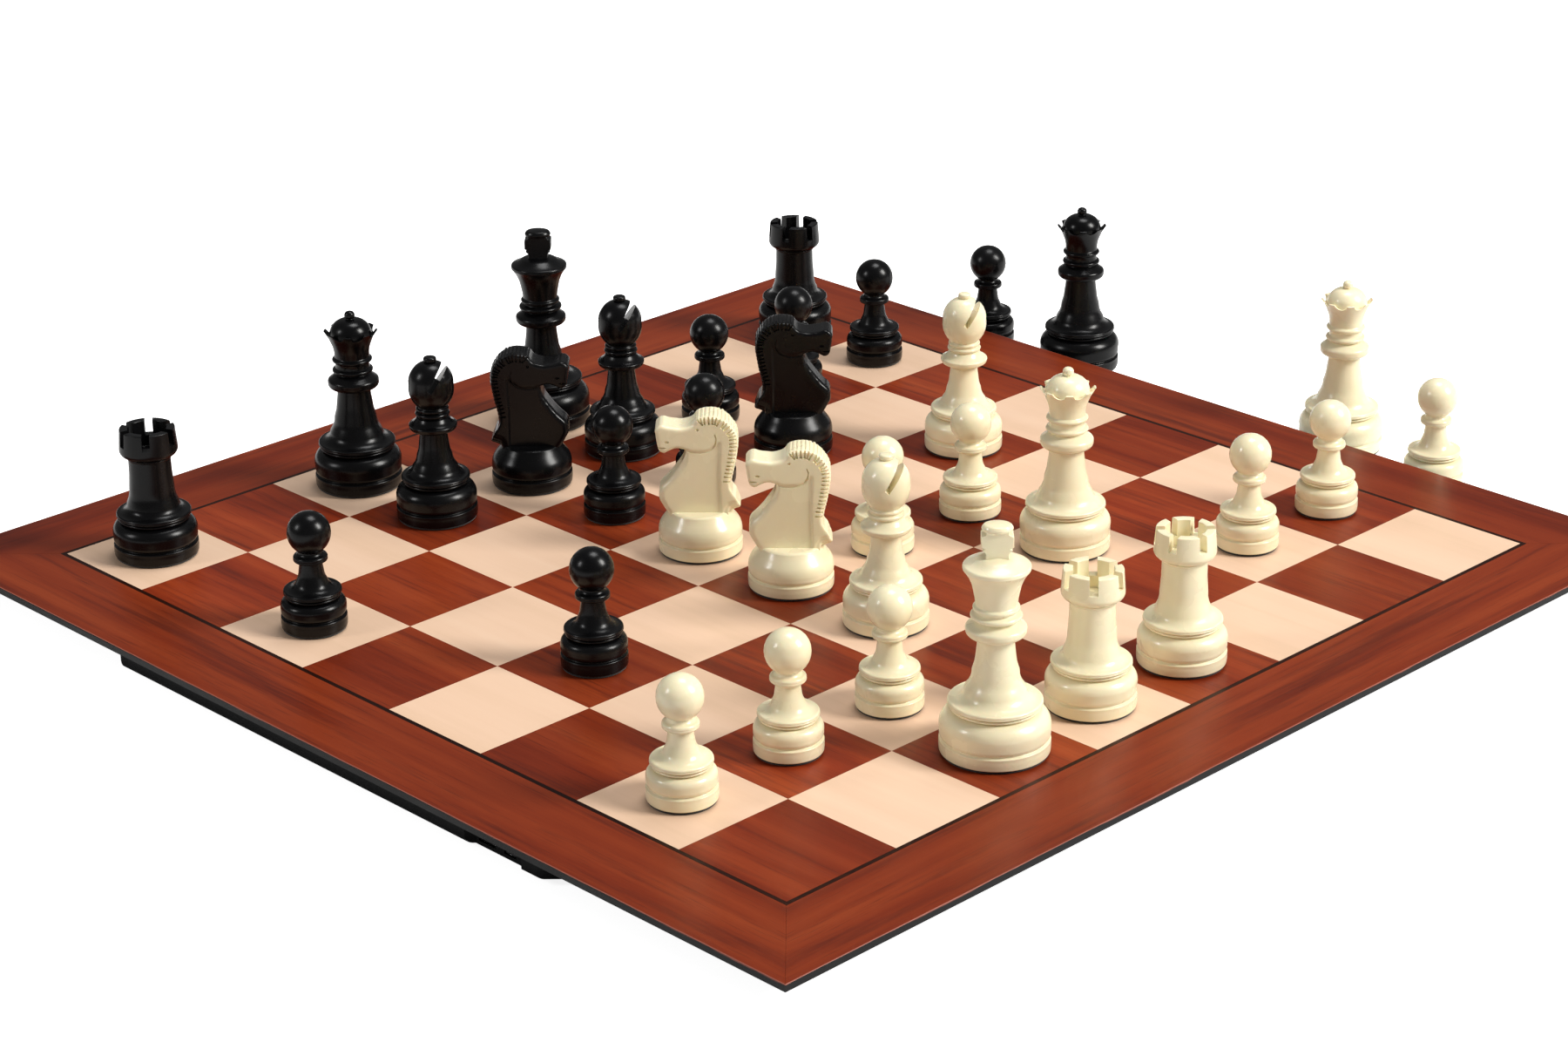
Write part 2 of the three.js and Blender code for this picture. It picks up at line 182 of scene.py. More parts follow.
def drawn(name, points, depth):
    """A plate: an outline drawn from corner to corner, filled, and extruded by depth."""
    deselect_all()
    bpy.ops.mesh.primitive_plane_add(size=MM)
    piece = start_piece(name)
    bpy.ops.mesh.select_mode(type="VERT")
    bpy.ops.mesh.merge(type="CENTER")
    bpy.ops.transform.translate(value=points[0])
    for before, after in zip(points, points[1:]):
        bpy.ops.mesh.extrude_vertices_move(TRANSFORM_OT_translate={"value": after - before})
    bpy.ops.mesh.select_all(action="SELECT")
    bpy.ops.mesh.edge_face_add()
    bpy.ops.mesh.extrude_region_move(TRANSFORM_OT_translate={"value": depth})
    return finish_piece(piece)


def upright(name, outline, thickness):
    """A plate of that outline standing in the XZ plane, half its thickness to each side."""
    front = -thickness / 2 * MM
    return drawn(name, [Vector((x, front, z)) for x, z in traced(outline)], (0, thickness * MM, 0))


def flat(name, outline, bottom, top):
    """A plate of that outline lying between two heights."""
    corners = [Vector((x, y, bottom * MM)) for x, y in traced(outline)]
    return drawn(name, corners, (0, 0, (top - bottom) * MM))


def brick(name, low, high, rounding=0, segments=2):
    """A block between two corners in millimetres, its edges rounded."""
    low, high = Vector(low) * MM, Vector(high) * MM
    deselect_all()
    bpy.ops.mesh.primitive_cube_add(size=1, location=(low + high) / 2, scale=high - low)
    piece = start_piece(name)
    bpy.ops.object.mode_set(mode="OBJECT")
    bpy.ops.object.transform_apply()
    bpy.ops.object.mode_set(mode="EDIT")
    if rounding:
        bpy.ops.mesh.bevel(offset=rounding * MM, segments=segments, affect="EDGES")
    return finish_piece(piece)


def rod(name, radius, start, end, sides):
    """A round bar between two points in millimetres."""
    start, end = Vector(start) * MM, Vector(end) * MM
    deselect_all()
    bpy.ops.mesh.primitive_cylinder_add(vertices=sides, radius=radius * MM, depth=(end - start).length,
                                        location=(start + end) / 2,
                                        rotation=(end - start).to_track_quat("Z", "Y").to_euler())
    return finish_piece(start_piece(name))


def ellipsoid(name, centre, radii):
    deselect_all()
    bpy.ops.mesh.primitive_uv_sphere_add(segments=32, ring_count=20, radius=MM,
                                         location=Vector(centre) * MM, scale=radii)
    return finish_piece(start_piece(name))


def apply_modifier(piece, kind, **settings):
    deselect_all()
    piece.select_set(True)
    bpy.context.view_layer.objects.active = piece
    modifier = piece.modifiers.new(kind.lower(), kind)
    for key, value in settings.items():
        setattr(modifier, key, value)
    bpy.ops.object.modifier_apply(modifier=modifier.name)


def combine(piece, tools, operation, crossing=False):
    """Adds the tools to the piece, or takes them from it. Say if one tool's own parts cross."""
    for tool in tools:
        apply_modifier(piece, "BOOLEAN", object=tool, operation=operation, solver="EXACT", use_self=crossing)
        bpy.data.objects.remove(tool)
    bpy.ops.object.shade_smooth_by_angle(angle=SHARP_ANGLE)
    return piece


def bevel_where(piece, test, width, segments):
    """Bevels the edges whose two ends both pass the test, which is given their places in millimetres."""
    vertices = piece.data.vertices
    for part in (*vertices, *piece.data.edges, *piece.data.polygons):
        part.select = False
    for edge in piece.data.edges:
        edge.select = all(test(vertices[v].co / MM) for v in edge.vertices)
    deselect_all()
    piece.select_set(True)
    bpy.context.view_layer.objects.active = piece
    bpy.context.tool_settings.mesh_select_mode = (False, True, False)
    bpy.ops.object.mode_set(mode="EDIT")
    bpy.ops.mesh.bevel(offset=width * MM, segments=segments, affect="EDGES", clamp_overlap=False)
    return finish_piece(piece)


def gather(pieces):
    """Makes one object of several."""
    deselect_all()
    for piece in pieces:
        piece.select_set(True)
    bpy.context.view_layer.objects.active = pieces[0]
    bpy.ops.object.join()
    return pieces[0]


def reshape(piece, matrix):
    piece.data.transform(matrix)
    return piece


def copied(model, name, matrix):
    """A copy with its own mesh, put in place by the matrix."""
    piece = model.copy()
    piece.data = model.data.copy()
    piece.name = name
    piece.data.transform(matrix)
    bpy.context.collection.objects.link(piece)
    return piece


def middle_of(node):
    low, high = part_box(node)
    return (low + high) / 2


# The chessmen, each standing on z = 0 with its axis on the origin.

def foot(radius, lip, lip_top):
    """The outline that the turned men share: plinth, bead, bell, and the overhanging lip round the stem."""
    under = lip_top - 3.4
    neck = lip - 1.5
    return [
        (radius - 0.8, 0.9),
        (radius - 0.25, 1.6, 0.2),
        (radius - 0.1, 3.6, 0.05),
        (radius - 0.2, 5.5, 0.05),
        (radius - 0.7, 6.3, 0.25),
        (radius - 1.15, 6.6),
        (radius - 1.15, 6.9, -0.05),
        (radius - 0.3, 9.2, 0.35),
        (radius - 0.25, 10.6, 0.05),
        (neck, under - 0.7, 0.17 * (under - 9)),
        (neck - 0.7, under - 0.3, -0.15),
        (lip - 1.1, under - 0.1),
        (lip - 0.75, under + 0.9, 0.4),
        (lip - 1.2, under + 1.2, -0.1),
        (lip - 0.25, under + 1.5, 0.1),
        (lip, under + 2.3, 0.25),
        (lip - 0.9, lip_top, 0.45),
    ]


def pawn():
    return turned("pawn_model", foot(14.2, 12.3, 18.1) + [
        (6.6, 22, -1.1), (5.3, 26.5, -0.3), (4.9, 30.3, -0.1),
        (6.4, 30.7, -0.1), (7.2, 32, 0.45), (6.4, 33.5, 0.4), (5.0, 35.2, -0.4),
        (9.3, 43.3, 1.15), (0.2, 52.59, 2.72)])


def rook():
    tower = turned("rook_model", foot(18.8, 16.4, 20.8) + [
        (11.4, 25, -1.2), (9.9, 32, -0.5), (9.3, 45.6, -0.2),
        (9.8, 46.0, 0.1), (9.8, 46.7, 0.15), (9.5, 46.9),
        (11.3, 47.5, 0.1), (12.9, 50.4, 0.5), (12.2, 59.3), (11.8, 59.7, 0.12),
        (8.9, 59.7), (8.5, 59.3, 0.12), (8.3, 48.4), (7.6, 47.8, -0.2), (0.2, 47.8)])
    slots = [reshape(brick(f"slot_{i}", (-20, -1.75, 52.8), (20, 1.75, 63)),
                     Matrix.Rotation(math.radians(15 + 60 * i), 4, "Z")) for i in range(3)]
    return combine(tower, slots, "DIFFERENCE")


def bishop():
    body = turned("bishop_model", foot(18.5, 15.4, 21) + [
        (10.2, 25, -1.0), (8, 30.5, -0.5), (6.8, 36, -0.3), (6.2, 42.2, -0.1),
        (9.2, 42.5, 0.1), (10.8, 44.4, 0.5), (10.3, 45.4, 0.3), (7.3, 48.4, -0.4), (6.6, 48.9, -0.1),
        (7.4, 49.4, 0.1), (7.5, 50.8, 0.35), (6.6, 51.3, -0.1),
        (7.1, 51.8, 0.1), (7.1, 53.1, 0.3), (6.5, 53.6, -0.2),
        (10.15, 64, 1.4), (8.1, 71, 0.7), (2.0, 74.5, 0.8),
        (2.9, 75.5, 0.4), (1.8, 76.8, 0.5), (0.2, 76.99, 0.05)])
    slit = upright("slit", [(1.2, 62.4), (10.7, 76.8), (7.8, 78.4), (-0.6, 63.7)], 40)
    return combine(body, [slit], "DIFFERENCE")


def queen():
    body = turned("queen_model", foot(20.2, 17.6, 22) + [
        (11.9, 27, -1.2), (9.6, 34, -0.6), (8.2, 41, -0.3), (7.5, 47.4, -0.1),
        (9.6, 47.9, 0.1), (11.7, 50.6, 0.8), (11.1, 52.4, 0.3), (8.2, 54.6, -0.2), (7.8, 55.1, -0.1),
        (8.9, 55.6, 0.1), (8.9, 57.2, 0.45), (7.9, 57.8, -0.1), (7.9, 60.2, -0.2),
        (8.8, 60.7, 0.1), (8.8, 62.2, 0.4), (8.0, 62.9, -0.1),
        (9.4, 70, -0.45), (12.3, 75.2, -0.35), (11.5, 75.4, 0.15), (10.3, 73.7, 0.1), (9.7, 73.3, -0.1),
        (2.1, 80.7, 2.3), (1.7, 81, -0.1), (2.4, 82.5, 0.3), (0.2, 84.38, 0.75)])
    notches = []
    for i in range(8):
        angle = math.radians(45 * i + 22.5)
        outward = Vector((math.cos(angle), math.sin(angle), 0))
        centre = Vector((0, 0, 76.2))
        notches.append(rod(f"notch_{i}", 3.2, centre + outward * 9.9, centre + outward * 15, 28))
    return combine(body, notches, "DIFFERENCE")


# The king's cap is this much wider than it is deep.
CAP_STRETCH = 1.24


def king():
    body = turned("king_model", foot(22.2, 18.7, 22.8) + [
        (12.2, 27.6, -1.5), (9.3, 35, -0.8), (7.8, 42, -0.3), (7.2, 49.3, -0.1),
        (9.8, 49.8, 0.1), (12, 52.4, 0.8), (11.4, 54.0, 0.3), (8.4, 56.0, -0.2), (8.0, 56.6, -0.1),
        (9.7, 57.2, 0.1), (9.7, 59.0, 0.5), (8.3, 59.7, -0.1), (8.1, 60.3, -0.1),
        (9.0, 60.8, 0.1), (8.9, 62.2, 0.3), (8.2, 62.8, -0.1),
        (9.0, 68, -0.1), (12.9, 77.2, -0.7), (13.25, 78.2, 0.2), (12.4, 79.5, 0.4),
        (9.6, 80.8, 0.1), (4.8, 82.7, 0.5), (3.4, 83.6, -0.2), (3.1, 85), (0.2, 85)])
    half = [(4.7, 82.6), (4.4, 84.4, -0.1), (5.9, 86.2, -0.3), (4.9, 86.9), (6.25, 87.7, 0.1), (6.25, 91.8),
            (4.4, 92.7), (4.4, 94.6)]
    other = [(-half[-1][0], half[-1][1])]
    for i in reversed(range(len(half) - 1)):
        x, z = half[i][:2]
        other.append((-x, z, *half[i + 1][2:]))
    cross = upright("cross", half + other, 7.4)
    apply_modifier(cross, "BEVEL", width=0.45 * MM, segments=3, limit_method="ANGLE",
                   angle_limit=math.radians(50))
    cap = turned("cap", [
        (4.0, 93.1), (4.9, 94.0, 0.25), (4.7, 95.1, 0.15), (3.6, 96.0, 0.25), (0.2, 96.35, 0.15)])
    reshape(cap, Matrix.Diagonal((CAP_STRETCH, 1.0, 1.0, 1.0)))
    return combine(body, [cross, cap], "UNION")


# The knight's flat-sided layers, with the nose towards +X.
KNIGHT_NECK = [
    (-12.5, 17), (13.0, 17), (14.1, 19.8, -0.2), (16.6, 24.2, 0.3), (17.6, 28.6, 0.5), (16.0, 32.6, 0.5),
    (9.4, 40.4, -0.4), (6.4, 45.2, -0.3), (5.6, 50, -0.2),
    (0, 60), (-14.4, 59), (-14.8, 46), (-13.2, 36), (-13, 26)]
KNIGHT_HEAD = [
    (15, 48.2), (17.6, 50.2, 0.5), (18.2, 53.4, 0.1), (18.6, 57.2, 0.2), (17.6, 60.2, 0.6),
    (15.2, 61.1, 0.3), (10, 60.0, -0.3), (5, 60.2, -0.4), (1.6, 62.2, -0.4), (0.2, 64.0, 0.2),
    (-5, 64.9, 0.3), (-11, 63.6, 0.3), (-11, 60.0), (-8.4, 58.6, -0.3), (-7.4, 54.6, 0.1),
    (-6.0, 50.2, 0.7), (-2.6, 48.7, 0.4), (3, 48.7), (6.2, 49.7, -0.1), (9.4, 50.5, -0.2),
    (12.2, 49.6, -0.2)]
KNIGHT_CREST = [
    (1.4, 62.6), (0.1, 64.6, 0.2), (-5, 65.45, 0.3), (-10.2, 64, 0.5), (-15, 60, 0.6), (-17.4, 54.5, 0.5),
    (-16.9, 47, 0.3), (-14.6, 36, 0.2), (-14.1, 31, -0.1), (-15.2, 27, -0.2), (-17.8, 23.2, -0.2),
    (-17.7, 21.7, 0.3), (-13.6, 20.1, -0.2), (-12, 17.5)]
KNIGHT_MANE_FOOT = [(-9.4, 17.5), (-9.2, 40), (-9.7, 54), (-10.2, 60), (-8.6, 62.5, -0.6), (-2, 62.9)]
CREST_MIDDLE = (-4, 54)
# Each layer of the mane: its thickness, and how far it reaches of the way to the crest.
MANE_STEPS = ((14.8, 0.87), (13.8, 0.92), (12.2, 0.965), (9.6, 1.0))
# The cuts across the mane: how many, how low they go, and how far from the head's middle they stop.
TICKS = 25
LOWEST_TICK = 33
TICK_FLOOR = 6.2
# The groove under the cheek, and its distance from the middle of the head.
CHEEK = [
    (6.2, 49.4), (3, 48.4), (-0.4, 48.1), (-3.4, 48.6), (-6.0, 50.0), (-7.4, 52.3), (-7.9, 55), (-7.2, 57)]
CHEEK_DEPTH = 6.95


def rounded_layer(name, outline, thickness, rounding, rim):
    """A layer whose rims are rounded on both faces, wherever rim(x, z) holds."""
    layer = upright(name, outline, thickness)
    on_rim = thickness / 2 - 0.01
    return bevel_where(layer, lambda spot: abs(spot.y) > on_rim and rim(spot.x, spot.z), rounding, 3)


def mane_layers():
    """The mane's crest slopes off in steps, each thinner layer reaching further from the crest's middle."""
    centre_x, centre_z = CREST_MIDDLE
    layers = []
    for thickness, reach in MANE_STEPS:
        crest = [(centre_x + (x - centre_x) * reach, centre_z + (z - centre_z) * reach, *bulge)
                 for x, z, *bulge in KNIGHT_CREST]
        layers.append(upright("mane", crest + KNIGHT_MANE_FOOT, thickness))
    return layers


def mane_ticks():
    """Short cuts square to the crest on both faces, evenly spaced from the forelock down the back."""
    crest = [point / MM for point in traced(KNIGHT_CREST)]
    crest = [point for point in crest if point.y > LOWEST_TICK][1:]
    lengths = [(after - before).length for before, after in zip(crest, crest[1:])]
    cuts = []
    for i in range(TICKS):
        along = sum(lengths) * (i + 0.5) / TICKS
        leg = 0
        while along > lengths[leg]:
            along -= lengths[leg]
            leg += 1
        way = (crest[leg + 1] - crest[leg]).normalized()
        spot = crest[leg] + way * along
        lean = Matrix.Rotation(-math.atan2(-way.x, way.y), 4, "Y")
        turn = Matrix.Translation(Vector((spot.x, 0, spot.y)) * MM) @ lean
        for near, far in ((TICK_FLOOR, 9), (-9, -TICK_FLOOR)):
            cuts.append(reshape(brick("tick", (-3.9, near, -0.42), (1, far, 0.42)), turn))
        cuts.append(reshape(rod("nick", 0.62, (0.1, -9, 0), (0.1, 9, 0), 8), turn))
    return cuts


def knight():
    """The head is laid up from rounded layers, fused, smoothed, and then cut with its fine lines."""
    head = gather([rounded_layer("knight_model", KNIGHT_NECK, 13.6, 2.2, lambda x, z: z > 18 and x > 0),
                   rounded_layer("face", KNIGHT_HEAD, 14.7, 1.3, lambda x, z: x > -7),
                   *mane_layers()])
    apply_modifier(head, "REMESH", mode="VOXEL", voxel_size=0.45 * MM)
    apply_modifier(head, "SMOOTH", factor=0.5, iterations=4)

    cuts = mane_ticks()
    for side in (-1, 1):
        for (x, z), (next_x, next_z) in zip(CHEEK, CHEEK[1:]):
            depth = side * CHEEK_DEPTH
            cuts.append(rod("cheek", 0.5, (x, depth, z), (next_x, depth, next_z), 10))
        cuts += [
            ellipsoid("nostril", (13.8, side * 7.3, 53.6), (1.1, 0.9, 0.6)),
            ellipsoid("mouth", (16.6, side * 7.2, 50.9), (2.6, 1.4, 0.35)),
            ellipsoid("eye", (0.3, side * 7.4, 59.3), (0.7, 0.8, 0.7)),
        ]
    combine(head, [gather(cuts)], "DIFFERENCE", crossing=True)
    bell = turned("knight_bell", foot(18.8, 16.2, 19.6)[:9] + [
        (17.2, 14.7, 0.3), (14.0, 19.1, -0.05), (13.2, 19.9, 0.15), (12.2, 20.2, 0.1), (0.2, 20.2)])
    return combine(bell, [head], "UNION")


MODELS = {"pawn": pawn, "rook": rook, "bishop": bishop, "queen": queen, "king": king, "knight": knight}
FOOT_RADII = {"pawn": 14.2, "rook": 18.8, "bishop": 18.5, "queen": 20.2, "king": 22.2, "knight": 18.8}
FELT_INSET = 0.75


def man_turn(node, side, kind):
    if kind == "knight":
        return KNIGHT_TURNS[side]
    return ROOK_TURNS.get(node, KIND_TURNS.get(kind, 0))


def add_men(finishes):
    men = [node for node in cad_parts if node.startswith(("white_", "black_"))]
    for kind, make in MODELS.items():
        model = make()
        reach = FOOT_RADII[kind]
        rim = reach - FELT_INSET
        pad = turned("felt_model", [(rim - 0.25, 0.02), (rim, 0.2, 0.05), (rim, 0.9), (0.2, 0.9)])
        for node in men:
            side, its_kind, _ = node.split("_")
            if its_kind != kind:
                continue
            spot = middle_of(node)
            spot.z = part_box(node)[0].z
            turn = math.radians(man_turn(node, side, kind))
            matrix = Matrix.Translation(spot) @ Matrix.Rotation(turn, 4, "Z")
            man = copied(model, f"{node}_moulding", matrix)
            man.data.materials.clear()
            man.data.materials.append(finishes[side])
            felt = copied(pad, f"{node}_felt", matrix)
            felt.data.materials.append(finishes["felt"])
            for piece, slot in ((man, f"{side}_men"), (felt, "felt")):
                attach(piece, node)
            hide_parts(node)
        bpy.data.objects.remove(model)
        bpy.data.objects.remove(pad)


# Board pieces that replace their plain solids.

# The hairline left at each mitre and along the inlaid line, in metres.
STRIP_GAP = 0.00005
# Half the length of the tray's short straight sides, and its wall and floor.
TRAY_STRAIGHT = 135
TRAY_WALL = 4.2
TRAY_FLOOR = 1.6
# Half the width of the socket bay at its back and at its mouth.
BAY_BACK = 13.5
BAY_MOUTH = 17.5

def add_border_strips(finish):
    """Four mitred strips with their outer top arris eased."""
    low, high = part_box("border_veneer_front")
    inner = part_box("inlay_line")[1].x + STRIP_GAP
    reach = abs(low.y)
    points = [Vector((-reach + STRIP_GAP, -reach, low.z)), Vector((reach - STRIP_GAP, -reach, low.z)),
              Vector((inner - STRIP_GAP, -inner, low.z)), Vector((-inner + STRIP_GAP, -inner, low.z))]
    model = drawn("strip_model", points, (0, 0, high.z - low.z))
    edge_y, edge_z = -reach / MM + 0.01, high.z / MM - 0.01
    bevel_where(model, lambda spot: spot.y < edge_y and spot.z > edge_z, 0.4, 4)
    for turns, side in enumerate(("front", "right", "back", "left")):
        strip = copied(model, f"border_strip_{side}", Matrix.Rotation(turns * math.pi / 2, 4, "Z"))
        strip.data.materials.append(finish)
        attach(strip, "board")
        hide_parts(f"border_veneer_{side}")
    bpy.data.objects.remove(model)


def octagon(reach_x, reach_y, straight):
    """The tray's eight corners: sides cut off at 45 degrees, with +/- straight left on the short sides."""
    across = reach_x - (reach_y - straight)
    return [(-across, -reach_y), (across, -reach_y), (reach_x, -straight), (reach_x, straight),
            (across, reach_y), (-across, reach_y), (-reach_x, straight), (-reach_x, -straight)]


def add_tray(finish):
    """A moulded shell: eased outer edges, wall, floor, screw bosses, and the splayed bay for the sockets."""
    low, high = (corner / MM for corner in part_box("case_tray"))
    outline = octagon(high.x, high.y, TRAY_STRAIGHT)
    tray = flat("electronics_tray", outline, low.z, high.z)
    apply_modifier(tray, "BEVEL", width=2.2 * MM, segments=4, limit_method="ANGLE",
                   angle_limit=math.radians(30))
    inside = octagon(high.x - TRAY_WALL, high.y - TRAY_WALL, TRAY_STRAIGHT - TRAY_WALL * (math.sqrt(2) - 1))
    hollow = flat("hollow", inside, low.z + TRAY_FLOOR, high.z + 1)
    lid = flat("lid_level", octagon(high.x + 5, high.y + 5, TRAY_STRAIGHT), high.z, high.z + 4)
    combine(tray, [hollow, lid], "DIFFERENCE")
    bay = middle_of("usb_socket").lerp(middle_of("accessory_socket"), 0.5) / MM
    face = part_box("usb_socket")[0].x / MM
    bay_wall = brick("bay_wall", (low.x + 1, bay.y - 19.5, low.z + 0.5), (face + 4, bay.y + 19.5, high.z))
    screws = [middle_of(f"tray_screw_{i}") / MM for i in range(1, 7)]
    bosses = [rod("boss", 3.4, (s.x, s.y, low.z + 1), (s.x, s.y, high.z), 20) for s in screws]
    combine(tray, [bay_wall, gather(bosses)], "UNION")

    back = face - 0.4
    splay = flat("splay", [
        (low.x - 1, bay.y - BAY_MOUTH), (back, bay.y - BAY_BACK),
        (back, bay.y + BAY_BACK), (low.x - 1, bay.y + BAY_MOUTH)], low.z - 1, high.z + 1)
    cuts = [splay]
    for socket in ("usb_socket", "accessory_socket"):
        near, far = (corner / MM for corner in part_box(socket))
        cuts.append(brick("window", (near.x - 4, near.y - 0.3, near.z - 0.3),
                          (far.x, far.y + 0.3, high.z + 1)))
    recesses = [rod("recess", 3.0, (s.x, s.y, low.z - 1), (s.x, s.y, low.z + 2), 24) for s in screws]
    combine(tray, [*cuts, gather(recesses)], "DIFFERENCE")
    tray.data.materials.append(finish)
    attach(tray, "board")
    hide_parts("case_tray")


def add_feet(finish):
    for place in ("centre", "front_left", "front_right", "back_right", "back_left"):
        node = f"rubber_foot_{place}"
        low, high = (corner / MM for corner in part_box(node))
        radius = (high.x - low.x) / 2
        pad = turned(f"foot_pad_{place}", [
            (0.2, 0.35), (radius - 2.4, 0.35), (radius - 2.1, 0, 0.05), (radius - 0.5, 0),
            (radius, 0.5, 0.15),
            (radius - 0.3, high.z - 0.3), (radius - 0.5, high.z, 0.1), (0.2, high.z)])
        spot = middle_of(node)
        pad.data.transform(Matrix.Translation((spot.x, spot.y, 0)))
        pad.data.materials.append(finish)
        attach(pad, "board")
        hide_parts(node)


def add_screws(finish):
    """Pan heads with a cross recess, seen from below the tray."""
    low, high = (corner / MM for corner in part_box("tray_screw_1"))
    head = (high.x - low.x) / 2
    model = turned("screw_model", [
        (0.2, low.z + 0.05), (head * 0.5, low.z + 0.15, 0.03), (head, low.z + 0.9, 0.3), (head, low.z + 1.4),
        (1.4, low.z + 1.4), (1.4, high.z - 1), (0.2, high.z)], 32)
    arms = [brick("arm", (-1.5, -0.25, low.z - 1), (1.5, 0.25, low.z + 0.9)),
            brick("arm", (-0.25, -1.5, low.z - 1), (0.25, 1.5, low.z + 0.9))]
    combine(model, arms, "DIFFERENCE")
    for i in range(1, 7):
        spot = middle_of(f"tray_screw_{i}")
        turn = Matrix.Rotation(0.7 * i, 4, "Z")
        screw = copied(model, f"pan_screw_{i}", Matrix.Translation((spot.x, spot.y, 0)) @ turn)
        screw.data.materials.append(finish)
        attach(screw, "board")
        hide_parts(f"tray_screw_{i}")
    bpy.data.objects.remove(model)


def add_sockets(shell_finish, body_finish):
    low, high = (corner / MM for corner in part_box("usb_socket"))
    shell = brick("usb_shell", low, high, 0.9, 4)
    mouth = brick("mouth", (low.x - 1, low.y + 0.45, low.z + 0.45),
                  (high.x - 0.6, high.y - 0.45, high.z - 0.45), 0.5, 3)
    combine(shell, [mouth], "DIFFERENCE")
    tongue = brick("usb_tongue", (low.x + 1.2, low.y + 2, low.z + 2.0),
                   (high.x - 0.4, high.y - 2, low.z + 2.8), 0.15)
    low, high = (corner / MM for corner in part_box("accessory_socket"))
    jack = brick("jack_body", low, high, 0.4)
    centre = (low + high) / 2
    bore = rod("bore", 1.3, (low.x - 1, centre.y, centre.z), (high.x - 2, centre.y, centre.z), 32)
    combine(jack, [bore], "DIFFERENCE")
    sleeve = rod("jack_sleeve", 1.75, (low.x, centre.y, centre.z), (low.x + 3, centre.y, centre.z), 32)
    bore = rod("bore", 1.28, (low.x - 1, centre.y, centre.z), (high.x - 2, centre.y, centre.z), 32)
    combine(sleeve, [bore], "DIFFERENCE")
    for piece, finish, slot in (
            (shell, shell_finish, "socket_metal"), (tongue, body_finish, "socket_plastic"),
            (jack, body_finish, "socket_plastic"), (sleeve, shell_finish, "socket_metal")):
        piece.data.materials.clear()
        piece.data.materials.append(finish)
        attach(piece, "board")
    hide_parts("usb_socket")
    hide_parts("accessory_socket")


# Shader nodes.

def place_node(tree, kind, settings=None, **inputs):
    """A node in the tree. Each input is a value or another node's output, and i0 is the input in place 0."""
    node = tree.nodes.new(kind)
    for key, value in (settings or {}).items():
        setattr(node, key, value)
    for key, value in inputs.items():
        name = key.replace("_", " ")
        socket = node.inputs[int(name[1:])] if name[0] == "i" and name[1:].isdigit() else node.inputs[name]
        if isinstance(value, bpy.types.NodeSocket):
            tree.links.new(value, socket)
        else:
            socket.default_value = value
    return node


def maths(tree, operation, a, b=0.0):
    return place_node(tree, "ShaderNodeMath", {"operation": operation}, i0=a, i1=b).outputs[0]


def blend_colours(tree, factor, a, b):
    node = place_node(tree, "ShaderNodeMix", {"data_type": "RGBA"}, i0=factor, i6=a, i7=b)
    return node.outputs[2]


def ramp(tree, value, *stops):
    node = place_node(tree, "ShaderNodeValToRGB", Fac=value)
    elements = node.color_ramp.elements
    for element, (place, colour) in zip(elements, (stops[0], stops[-1])):
        element.position, element.color = place, (*colour, 1)
    for place, colour in stops[1:-1]:
        elements.new(place).color = (*colour, 1)
    return node.outputs["Color"]


def level(tree, value, low, high, to_low=0.0, to_high=1.0):
    node = place_node(tree, "ShaderNodeMapRange", Value=value, From_Min=low, From_Max=high,
                      To_Min=to_low, To_Max=to_high)
    return node.outputs["Result"]


def new_group(name, inputs, outputs):
    group = bpy.data.node_groups.new(name, "ShaderNodeTree")
    for socket, kind in inputs.items():
        group.interface.new_socket(socket, in_out="INPUT", socket_type=kind)
    for socket, kind in outputs.items():
        group.interface.new_socket(socket, in_out="OUTPUT", socket_type=kind)
    return group, group.nodes.new("NodeGroupInput"), group.nodes.new("NodeGroupOutput")


def grain_group():
    """Straight wood grain along Y: broad figure, darker streaks and short open pores."""
    group, entry, result = new_group(
        "wood_grain", {"Vector": "NodeSocketVector", "Width": "NodeSocketFloat"},
        {"Figure": "NodeSocketFloat", "Streak": "NodeSocketFloat", "Pore": "NodeSocketFloat"})
    along = place_node(group, "ShaderNodeMapping", Vector=entry.outputs["Vector"],
                       Scale=(1, 0.045, 1)).outputs[0]
    wander = place_node(group, "ShaderNodeTexNoise", Vector=along, Scale=16, Detail=3, Roughness=0.5)
    sway = place_node(group, "ShaderNodeVectorMath", {"operation": "SCALE"},
                      i0=wander.outputs["Color"], Scale=0.014).outputs[0]
    bent = place_node(group, "ShaderNodeVectorMath", {"operation": "ADD"}, i0=along, i1=sway).outputs[0]
    figure = place_node(group, "ShaderNodeTexNoise", Vector=bent, Scale=entry.outputs["Width"], Detail=6,
                        Roughness=0.62, Distortion=0.15)
    fine = maths(group, "MULTIPLY", entry.outputs["Width"], 3.4)
    streak = place_node(group, "ShaderNodeTexNoise", Vector=bent, Scale=fine, Detail=5, Roughness=0.7)
    pores = place_node(group, "ShaderNodeMapping", Vector=bent, Scale=(1, 0.55, 1)).outputs[0]
    pore = place_node(group, "ShaderNodeTexNoise", Vector=pores, Scale=1500, Detail=2, Roughness=0.5)
    group.links.new(figure.outputs["Fac"], result.inputs["Figure"])
    group.links.new(level(group, streak.outputs["Fac"], 0.52, 0.68), result.inputs["Streak"])
    group.links.new(level(group, pore.outputs["Fac"], 0.60, 0.74), result.inputs["Pore"])
    return group


